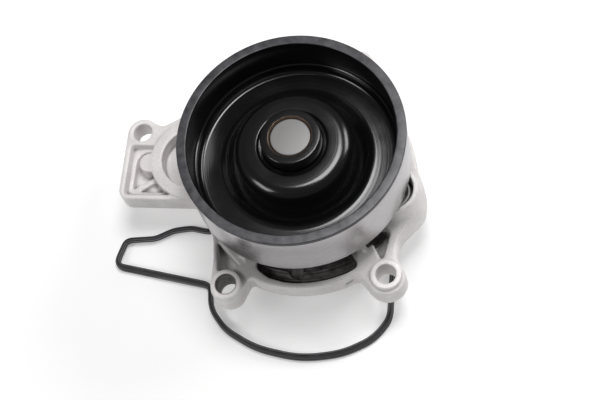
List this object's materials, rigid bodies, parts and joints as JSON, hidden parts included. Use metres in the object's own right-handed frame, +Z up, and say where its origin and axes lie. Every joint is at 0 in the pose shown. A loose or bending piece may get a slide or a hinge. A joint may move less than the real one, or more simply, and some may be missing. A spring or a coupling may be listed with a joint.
{
  "type": "engine water pump",
  "caption": "Belt-driven engine coolant pump with a deep cup pulley, a cast flange with bolt lugs and an arm, an impeller, and a loose moulded gasket.",
  "frame": {"origin": "centre of the shaft's lower end face, on the shaft's axis and on the plane that the impeller and the gasket stand on", "axes": "+Z up the shaft towards the pulley; -X towards the end of the flange's arm; -Y towards the loose gasket's bow"},
  "size_m": [0.1502, 0.1445, 0.07],
  "materials": {
    "cast_aluminium": "fine grained die cast",
    "black_coat": "gloss black coat, belt wall ground bright",
    "steel": "ground",
    "bearing_steel": "polished",
    "cage_plastic": "moulded",
    "impeller_plastic": "moulded",
    "brass": "drawn",
    "rubber": "moulded",
    "carbon": "lapped",
    "ceramic": "lapped"
  },
  "bodies": {
    "housing": {"pump_housing": "cast_aluminium", "gasket": "rubber", "bearing_outer_ring": "bearing_steel", "front_bearing_seal": "rubber", "rear_bearing_seal": "rubber", "seal_case": "brass", "seal_bellows": "rubber", "seal_spring": "steel", "seal_carbon_ring": "carbon"},
    "rotor": {"pulley": "black_coat", "pulley_hub": "black_coat", "shaft": "steel", "impeller": "impeller_plastic", "impeller_insert": "brass", "seal_mating_ring": "ceramic", "seal_ring_boot": "rubber", "shaft_slinger": "steel"},
    "ball_row": {"ball_cage": "cage_plastic", "bearing_ball_1": "bearing_steel", "bearing_ball_2": "bearing_steel", "bearing_ball_3": "bearing_steel", "bearing_ball_4": "bearing_steel", "bearing_ball_5": "bearing_steel", "bearing_ball_6": "bearing_steel", "bearing_ball_7": "bearing_steel", "bearing_ball_8": "bearing_steel", "bearing_ball_9": "bearing_steel"},
    "roller_row": {"roller_cage": "cage_plastic", "bearing_roller_1": "bearing_steel", "bearing_roller_2": "bearing_steel", "bearing_roller_3": "bearing_steel", "bearing_roller_4": "bearing_steel", "bearing_roller_5": "bearing_steel", "bearing_roller_6": "bearing_steel", "bearing_roller_7": "bearing_steel", "bearing_roller_8": "bearing_steel", "bearing_roller_9": "bearing_steel", "bearing_roller_10": "bearing_steel"}
  },
  "joints": [
    {"name": "pulley_spin", "type": "hinge", "parent": "housing", "child": "rotor", "pos_m": [0, 0, 0.04], "axis": [0, 0, 1], "continuous": true},
    {"name": "ball_row_spin", "type": "hinge", "parent": "housing", "child": "ball_row", "pos_m": [0, 0, 0.04], "axis": [0, 0, 1], "continuous": true},
    {"name": "roller_row_spin", "type": "hinge", "parent": "housing", "child": "roller_row", "pos_m": [0, 0, 0.04], "axis": [0, 0, 1], "continuous": true}
  ],
  "couplings": [
    {"joint": "ball_row_spin", "follows": "pulley_spin", "ratio": 0.376},
    {"joint": "roller_row_spin", "follows": "pulley_spin", "ratio": 0.376}
  ]
}
